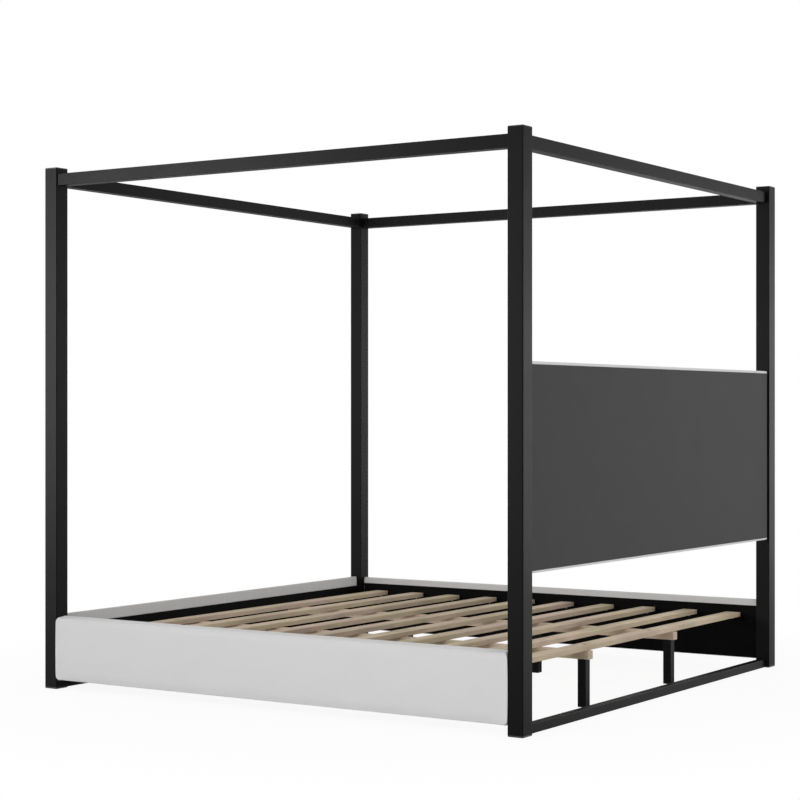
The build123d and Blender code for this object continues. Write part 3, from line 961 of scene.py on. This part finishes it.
    def lip_at(self, deep: float) -> tuple[float, float]:
        """Place on the lip's profile.

        Args:
            deep: 0 where the plain roll starts at the end, 1 where it meets the front.

        Returns:
            How far in from the end it lies and how far out from the posts' faces.
        """
        deep = min(1.0, max(0.0, deep))
        pairs = zip(self.lip, self.lip[1:])
        (start, *first), (stop, *last) = next(pair for pair in pairs if deep <= pair[1][0])
        share = (deep - start) / (stop - start)
        return tuple((a + (b - a) * share) * MM for a, b in zip(first, last))

    def smooth(self, bm: BMesh) -> BMesh:
        """Subdivide the open cover once.

        Args:
            bm: the mesh, which is freed.

        Returns:
            The finer mesh.
        """
        coarse = to_object(bm, f"{self.name}_coarse")
        bm.free()
        finer = coarse.modifiers.new("Finer", "SUBSURF")
        finer.levels = finer.render_levels = 1
        finer.boundary_smooth = "PRESERVE_CORNERS"
        fine = bmesh.new()
        fine.from_object(coarse, bpy.context.evaluated_depsgraph_get())
        discard(coarse)
        return fine

    def pucker(self, bm: BMesh) -> None:
        """Give the front a faint wander and small pulls at the corners.

        Args:
            bm: the mesh, whose points move.
        """
        start, band = 10 * MM, 20 * MM
        layer = self.place.outward.x + 3.0
        for vert in bm.verts:
            x, y, z = vert.co
            share = min(1.0, max(0.0, (y - start) / band))
            if not share:
                continue
            drift = noise.noise(Vector((x * self.waves[0], z * self.waves[1], layer)))
            near_x, near_z = insets(vert.co, self.low, self.high)
            far = math.hypot(near_x, near_z)
            fan = math.sin(self.folds * math.atan2(near_z, near_x + HAIR * MM))
            inward = self.wander * (drift - 0.6)
            inward += self.pull * math.exp(-far / self.pull_fade) * (0.5 * fan - 0.5)
            vert.co.y += share * min(0.0, inward)

    def line_inside(self, bm: BMesh) -> None:
        """Turn the open edge in and close the pocket that the board fills.

        Args:
            bm: the mesh, which is closed.
        """
        board_low, board_high = self.place.local(self.place.board)
        cloth_low, cloth_high = self.place.local(self.place.cloth)
        grow = Vector((self.room, 0.0, self.room))
        pocket_low, pocket_high = board_low - grow, board_high + grow
        ledge = self.cloth_depth - self.room
        edge = [e for e in bm.edges if e.is_boundary]
        edge = self.turn_in(bm, edge, ledge)
        edge = self.turn_in(bm, edge, 0.0)
        cloth_size, pocket_size = cloth_high - cloth_low, pocket_high - pocket_low
        for vert in {v for e in edge for v in e.verts}:
            for k in (0, 2):
                share = pocket_size[k] / cloth_size[k]
                vert.co[k] = pocket_low[k] + (vert.co[k] - cloth_low[k]) * share
        edge = self.turn_in(bm, edge, board_high.y + self.room - ledge)
        bmesh.ops.holes_fill(bm, edges=edge)

    @staticmethod
    def turn_in(bm: BMesh, edge: Sequence[Edge], depth: float) -> list[Edge]:
        """Draw an edge loop inwards.

        Args:
            bm: the mesh.
            edge: the loop.
            depth: how far it goes.

        Returns:
            The new loop.
        """
        made = bmesh.ops.extrude_edge_only(bm, edges=edge)["geom"]
        verts = [part for part in made if isinstance(part, bmesh.types.BMVert)]
        edges = [part for part in made if isinstance(part, Edge)]
        bmesh.ops.translate(bm, vec=(0.0, depth, 0.0), verts=verts)
        return [part for part in edges if part.is_boundary]


@dataclass
class BackSheet:
    """A cloth tacked tight over the back of a panel, with its edge folded under."""

    name: str
    place: PanelPlace
    material: Material
    slot: str
    hem: float = 12 * MM
    fold: float = 1.5 * MM
    hem_sink: float = 0.02 * MM
    sink: float = 0.45 * MM
    cell: float = 20 * MM
    tack: float = 90 * MM
    tack_fade: float = 60 * MM
    waves: float = 4.0

    def build(self) -> None:
        """Make the sheet and put it in place."""
        low, high = self.place.local(self.place.cloth)
        trim = Vector((0.2, 0.0, 0.2)) * MM
        low, high = low + trim, high - trim
        bm = slab(low, high)
        fold = [self.hem, self.hem + self.fold]
        for axis in (0, 2):
            hems = [low[axis] + f for f in fold] + [high[axis] - f for f in fold]
            slice_up(bm, axis, steps(low[axis], high[axis], self.cell) + hems)
        for vert in bm.verts:
            if vert.co.y < (low.y + high.y) / 2:
                vert.co.y = self.sag(vert.co, low, high)
        layer = bm.loops.layers.uv.new("weave")
        for face in bm.faces:
            for loop in face.loops:
                loop[layer].uv = (loop.vert.co.x, loop.vert.co.z)
        bmesh.ops.recalc_face_normals(bm, faces=bm.faces)
        bmesh.ops.transform(bm, matrix=self.place.frame(), verts=bm.verts)
        piece = finish_piece(
            bm, self.name, self.material, [self.place.cloth], smooth=False
        )

    def sag(self, at: Vector, low: Vector, high: Vector) -> float:
        """How far the cloth lies in from the back's plane.

        Args:
            at: a point of its face.
            low: lowest corner of the cloth.
            high: its highest corner.

        Returns:
            The depth.
        """
        near_x, near_z = insets(at, low, high)
        near = min(near_x, near_z)
        if near <= self.hem + HAIR:
            return self.hem_sink
        along = at.x if near_z < near_x else at.z
        pull = 0.5 + 0.5 * math.cos(TAU * along / self.tack)
        calm = 0.5 + 0.5 * noise.noise(Vector((at.x * self.waves, at.z * self.waves, 1.5)))
        pulled = pull * math.exp(-near / self.tack_fade)
        return self.sink * (0.55 + 0.25 * pulled + 0.20 * calm)


@dataclass
class Upholstery:
    """The four padded panels, with their covers and back cloths."""

    finishes: Finishes
    places: dict[str, PanelPlace] = field(default_factory=dict)

    def __post_init__(self) -> None:
        """Name the solids of each panel."""
        faces = {
            "side_panel_right": RIGHT,
            "side_panel_left": -RIGHT,
            "foot_panel": -HEAD,
            "headboard": -HEAD,
        }
        for name, outward in faces.items():
            cloth = "back_cloth" if name == "headboard" else "lining"
            names = (f"{name}_{part}" for part in ("pad", "board", cloth))
            self.places[name] = PanelPlace(*names, outward)

    def build(self, frame: Frame) -> None:
        """Make the covers and cloths, and dress the boards.

        Args:
            frame: the loaded frame.
        """
        for name, place in self.places.items():
            if name == "headboard":
                cover = {"swell": 6 * MM, "lip": ()}
                sheet = BackSheet(
                    f"{name}_back_sheet", place, self.finishes.back, "back_cloth", tack=150 * MM
                )
            else:
                cover = {}
                sheet = BackSheet(
                    f"{name}_lining_sheet", place, self.finishes.lining, "black_lining"
                )
            Cover(f"{name}_cover", place, self.finishes.cover, **cover).build()
            sheet.build()
            dress(frame, [place.board], self.finishes.board)


# Fasteners


class Facing(Enum):
    """Which way the heads of a group of fasteners look."""

    INWARD = -1
    OUTWARD = 1
    UPWARD = 0


class Head(Enum):
    """The form of a fastener's head, with the drive that goes with it."""

    BUTTON = "domed, with a hexagon socket"
    PAN = "low dome, with a cross recess"
    COUNTERSUNK = "flat, with a cross recess"


@dataclass
class Fasteners:
    """A group of equal bolts or screws that stand where the solids of one node are.

    The drive's rim and depth are shares of the head's width and height. The cross is the outline
    of a cross recess, from one arm to the next, as shares of its reach.
    """

    node: str
    name: str
    head: Head
    facing: Facing
    width: float
    height: float
    shank: float
    material: Material
    slot: str
    sides: int = 24
    sunk: float = 0.15 * MM
    edge: float = 0.1 * MM
    point: float = 0.8 * MM
    dome: float = 0.62
    rim: float = 0.04
    depth: float = 0.6
    turn: float = 0.65
    cross: tuple[float, ...] = (1.0, 0.97, 0.5, 0.354, 0.5, 0.97)

    def build(self, frame: Frame) -> None:
        """Make every fastener of the group as one piece.

        Args:
            frame: the loaded frame.
        """
        whole = bmesh.new()
        for number, (low, high) in enumerate(solid_boxes(frame["nodes"][self.node])):
            axis = self.axis_of(low, high)
            length = abs((high - low).dot(axis))
            top = (low + high) / 2 + axis * length / 2
            one = self.single(length)
            spin = Matrix.Rotation(self.turn * number, 4, "Z")
            lean = UP.rotation_difference(axis).to_matrix().to_4x4()
            place = Matrix.Translation(top) @ lean @ spin
            bmesh.ops.transform(one, matrix=place, verts=one.verts)
            spare = bpy.data.meshes.new("spare")
            one.to_mesh(spare)
            one.free()
            whole.from_mesh(spare)
            bpy.data.meshes.remove(spare)
        finish_piece(whole, self.name, self.material, [self.node], smooth=False)

    def axis_of(self, low: Vector, high: Vector) -> Vector:
        """Which way the head of one fastener looks.

        Args:
            low: lowest corner of its solid.
            high: its highest corner.

        Returns:
            The direction.
        """
        if self.facing is Facing.UPWARD:
            return UP.copy()
        size = high - low
        k = max(range(3), key=lambda n: abs(size[n] - self.width))
        axis = Vector((0.0, 0.0, 0.0))
        axis[k] = math.copysign(1.0, (low + high)[k]) * self.facing.value
        return axis

    def outline(self, length: float) -> list[tuple[float, float]]:
        """Radius and height along a fastener, from its tip to the rim of its drive.

        Args:
            length: from tip to top.

        Returns:
            The points, with the top at height 0.
        """
        r, s, h = self.width / 2, self.shank / 2, self.height
        stem = [(0.0, -length), (0.6 * s, -length), (s, self.point - length), (s, -h)]
        if self.head is Head.COUNTERSUNK:
            flat = [(share * r, -self.sunk) for share in (0.97, 0.62)]
            return stem + [(r, -self.sunk - self.edge)] + flat
        high = self.dome * h
        dome = [(r * math.cos(a), -high + high * math.sin(a)) for a in (0.0, 0.35, 0.7, 1.0)]
        return stem + [(0.97 * r, -h), (r, -0.96 * h)] + dome + [(0.42 * r, -0.02 * h)]

    def drive(self, step: int) -> float:
        """Radius of the drive's outline.

        Args:
            step: number of the side.

        Returns:
            The radius there, as a share of the widest.
        """
        if self.head is Head.BUTTON:
            turn = (step * TAU / self.sides) % (TAU / 6) - TAU / 12
            return math.cos(TAU / 12) / math.cos(turn)
        return self.cross[step % len(self.cross)]

    def single(self, length: float) -> BMesh:
        """One fastener with its top at the origin, looking up.

        Args:
            length: from tip to top.

        Returns:
            The mesh.
        """
        bm = bmesh.new()
        points = [bm.verts.new((radius, 0.0, height)) for radius, height in self.outline(length)]
        edges = [bm.edges.new(pair) for pair in zip(points, points[1:])]
        lathe = {"cent": (0, 0, 0), "axis": UP, "angle": TAU, "steps": self.sides}
        bmesh.ops.spin(bm, geom=points + edges, use_merge=True, **lathe)
        bmesh.ops.remove_doubles(bm, verts=bm.verts, dist=0.01 * MM)
        bmesh.ops.holes_fill(bm, edges=[edge for edge in bm.edges if edge.is_boundary])
        bm.faces.ensure_lookup_table()
        top = max(bm.faces, key=lambda face: len(face.verts))
        bmesh.ops.inset_region(bm, faces=[top], thickness=self.rim * self.width)
        floor = max(bm.faces, key=lambda face: len(face.verts))
        wide = max(math.hypot(v.co.x, v.co.y) for v in floor.verts)
        for vert in floor.verts:
            angle = math.atan2(vert.co.y, vert.co.x)
            step = round(angle / (TAU / self.sides)) % self.sides
            share = self.drive(step) * wide / math.hypot(vert.co.x, vert.co.y)
            vert.co.x *= share
            vert.co.y *= share
        deep = bmesh.ops.extrude_discrete_faces(bm, faces=[floor])["faces"][0]
        taper = 0.96 if self.head is Head.BUTTON else 0.55
        bmesh.ops.scale(bm, vec=(taper, taper, 1.0), verts=deep.verts)
        bmesh.ops.translate(bm, vec=(0.0, 0.0, -self.depth * self.height), verts=deep.verts)
        bmesh.ops.recalc_face_normals(bm, faces=bm.faces)
        return bm


# Sub-assemblies that keep their solids


@dataclass
class SteelFrame:
    """Posts, canopy rails and stretchers, with caps, stubs, brackets, hook plates and bolts."""

    finishes: Finishes
    posts: tuple[str, ...] = tuple(f"post_{end}_{side}" for end in ENDS for side in SIDES)
    rails: tuple[str, ...] = tuple(f"canopy_rail_{side}" for side in SIDES + ENDS)
    stretchers: tuple[str, ...] = tuple(f"{end}_stretcher" for end in ENDS)
    hooks: tuple[str, ...] = tuple(f"headboard_hook_{side}" for side in SIDES)
    fittings: tuple[str, ...] = ("rail_stubs", "panel_brackets")
    caps: tuple[str, ...] = ("post_top_caps", "post_foot_caps")

    def build(self, frame: Frame) -> None:
        """Dress the frame and make its bolts.

        Args:
            frame: the loaded frame.
        """
        dress(frame, self.posts + self.rails + self.stretchers, self.finishes.steel)
        # Stubs, brackets and hooks get the darker copy of the powder coat, which is painted shade.
        dress(frame, self.fittings + self.hooks, self.finishes.shade_darkened_fitting)
        dress(frame, self.caps, self.finishes.plastic)
        button = (Head.BUTTON, Facing.INWARD)
        flush = (Head.COUNTERSUNK, Facing.OUTWARD, 8 * MM, 2.5 * MM, 4 * MM)
        black = (self.finishes.black_bolt, "black_steel")
        zinc = (self.finishes.zinc, "zinc_steel")
        rail_size = (13 * MM, 4.5 * MM, 8 * MM)
        panel_size = (10.5 * MM, 3.3 * MM, 6 * MM)
        Fasteners("rail_bolts", "rail_socket_bolts", *button, *rail_size, *black).build(frame)
        Fasteners("panel_bolts", "panel_socket_bolts", *button, *panel_size, *black).build(frame)
        Fasteners("headboard_screws", "headboard_plate_screws", *flush, *zinc).build(frame)


@dataclass
class SlatBase:
    """Slats on ledgers and beams, with legs, glides and screws."""

    finishes: Finishes
    slats: tuple[str, ...] = tuple(f"slat_{number:02d}" for number in range(1, 11))
    beams: tuple[str, ...] = tuple(f"beam_{side}" for side in SIDES)
    ledgers: tuple[str, ...] = tuple(f"ledger_{side}" for side in SIDES)
    legs: tuple[str, ...] = tuple(f"leg_{side}_{n}" for side in SIDES for n in range(1, 5))

    def build(self, frame: Frame) -> None:
        """Dress the base and make its screws.

        Args:
            frame: the loaded frame.
        """
        dress(frame, self.slats, self.finishes.slat)
        dress(frame, self.beams, self.finishes.beam)
        # Ledgers get the darker copy of the powder coat, which is painted shade.
        dress(frame, self.ledgers, self.finishes.shade_darkened_fitting)
        dress(frame, self.legs, self.finishes.steel)
        dress(frame, ("leg_glides",), self.finishes.plastic)
        dress(frame, ("leg_studs",), self.finishes.zinc)
        pan = (Head.PAN, Facing.INWARD, 9 * MM, 2.5 * MM, 4.5 * MM)
        flush = (Head.COUNTERSUNK, Facing.UPWARD, 8 * MM, 2.5 * MM, 4 * MM)
        black = (self.finishes.black_bolt, "black_steel")
        zinc = (self.finishes.zinc, "zinc_steel")
        Fasteners("ledger_screws", "ledger_pan_screws", *pan, *black).build(frame)
        Fasteners("slat_screws", "slat_flush_screws", *flush, *zinc).build(frame)


# Studio


@dataclass(frozen=True)
class Softbox:
    """A soft area lamp aimed at a point; a glint only shows as a gleam on smooth surfaces."""

    name: str
    place: tuple[float, float, float]
    aim: tuple[float, float, float]
    size: tuple[float, float]
    power: float
    glint: bool = False

    def build(self) -> None:
        """Make the lamp."""
        lamp = bpy.data.lights.new(self.name, "AREA")
        lamp.shape = "RECTANGLE"
        lamp.size, lamp.size_y = self.size
        lamp.energy = self.power
        box = bpy.data.objects.new(self.name, lamp)
        box.location = self.place
        aim = Vector(self.aim) - Vector(self.place)
        box.rotation_euler = aim.to_track_quat("-Z", "Y").to_euler()
        box.visible_diffuse = not self.glint
        bpy.context.scene.collection.objects.link(box)


@dataclass
class Studio:
    """White room, soft lamps and the camera at the photograph's angle.

    The camera's focal length and centre are in pixels of a square picture.
    """

    picture: float = 800.0
    focal: float = 1883.7655
    centre: tuple[float, float] = (524.5368, 409.8558)
    eye: tuple[float, float, float] = (6.195606, 4.214730, 1.059543)
    heading: float = 3.6861978
    sensor: float = 36.0
    floor_size: float = 120.0
    floor_drop: float = 0.4 * MM
    floor_grey: float = 0.90
    floor_white: float = 0.91
    shadow_reach: tuple[float, float] = (1.3, 2.6)
    room_light: float = 0.49
    lamps: tuple[Softbox, ...] = (
        Softbox("side_box", (5.0, 0.3, 3.0), (0.6, 0.1, 0.4), (4.0, 2.4), 97.0),
        Softbox("head_box", (0.0, 4.4, 2.7), (0.0, 1.0, 0.5), (2.6, 2.0), 45.0),
        Softbox("foot_box", (-0.3, -5.0, 2.0), (0.0, -1.0, 0.7), (3.0, 2.2), 42.0),
        Softbox("left_box", (-5.0, -0.3, 1.9), (-1.0, 0.0, 0.4), (3.0, 2.2), 36.0),
        Softbox("foot_glint", (2.9, -2.0, 1.4), (1.0, -1.0, 1.1), (1.0, 1.8), 270.0, True),
        Softbox("left_glint", (-3.6, 3.4, 1.07), (-1.0, 1.0, 0.7), (2.0, 2.1), 192.0, True),
        Softbox("far_glint", (-3.8, 0.75, 1.1), (-1.0, -1.0, 1.1), (1.0, 1.8), 42.0, True),
    )

    def build(self) -> None:
        """Make the floor, world, lamps and camera."""
        self.make_floor()
        self.make_world()
        for lamp in self.lamps:
            lamp.build()
        self.make_camera()
        bpy.context.scene.view_settings.view_transform = "Standard"

    @staticmethod
    def seen(graph: Graph) -> Wire:
        """Which rays show the room: from the camera, and off or through glossy things.

        Args:
            graph: the tree that asks.

        Returns:
            One for such a ray.
        """
        path = graph.node("ShaderNodeLightPath")
        kinds = ("Camera", "Glossy", "Transmission")
        camera, glossy, through = (graph.wire(path, f"Is {kind} Ray") for kind in kinds)
        return (camera + glossy + through).maths("MINIMUM", 1.0)

    def make_floor(self) -> None:
        """A pale floor that stays nearly white to the eye and keeps a soft shadow."""
        bm = bmesh.new()
        bmesh.ops.create_grid(bm, x_segments=1, y_segments=1, size=self.floor_size / 2)
        bmesh.ops.translate(bm, vec=(0.0, 0.0, -self.floor_drop), verts=bm.verts)
        floor = to_object(bm, "studio_floor")
        bm.free()
        graph = new_material("studio_floor")
        shade = graph.node("ShaderNodeBsdfDiffuse", {"Color": grey(self.floor_grey)})
        glow = graph.node("ShaderNodeEmission", {"Color": WHITE, "Strength": 1.0})
        x, y, _ = graph.split(graph.place())
        away = graph.step((x * x + y * y).maths("SQRT"), *self.shadow_reach)
        share = self.seen(graph) * (self.floor_white + (1 - self.floor_white) * away)
        graph.blend("ShaderNodeOutputMaterial", share, shade, glow)
        floor.data.materials.append(graph.owner)

    def make_world(self) -> None:
        """White where the room is seen, and softer where it only lights the bed."""
        world = bpy.data.worlds.new("studio_room")
        bpy.context.scene.world = world
        graph = Graph(world)
        light, white = (
            graph.node("ShaderNodeBackground", {"Color": WHITE, "Strength": strength})
            for strength in (self.room_light, 1.0)
        )
        graph.blend("ShaderNodeOutputWorld", self.seen(graph), light, white)

    def make_camera(self) -> None:
        """The level camera, shifted as the photograph is framed."""
        lens = bpy.data.cameras.new("camera")
        lens.sensor_width = self.sensor
        lens.lens = self.focal * self.sensor / self.picture
        lens.shift_x = (self.picture / 2 - self.centre[0]) / self.picture
        lens.shift_y = (self.centre[1] - self.picture / 2) / self.picture
        lens.clip_end = self.floor_size * 2
        camera = bpy.data.objects.new("camera", lens)
        camera.location = self.eye
        camera.rotation_euler = (math.pi / 2, 0.0, self.heading - math.pi / 2)
        bpy.context.scene.collection.objects.link(camera)
        bpy.context.scene.camera = camera


def main() -> None:
    """Build the bed's looks and the studio."""
    logging.basicConfig(level=logging.INFO, format="%(name)s %(message)s")
    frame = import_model()
    finishes = Finishes()
    SteelFrame(finishes).build(frame)
    Upholstery(finishes).build(frame)
    SlatBase(finishes).build(frame)
    Studio().build()


if __name__ == "__main__":
    main()
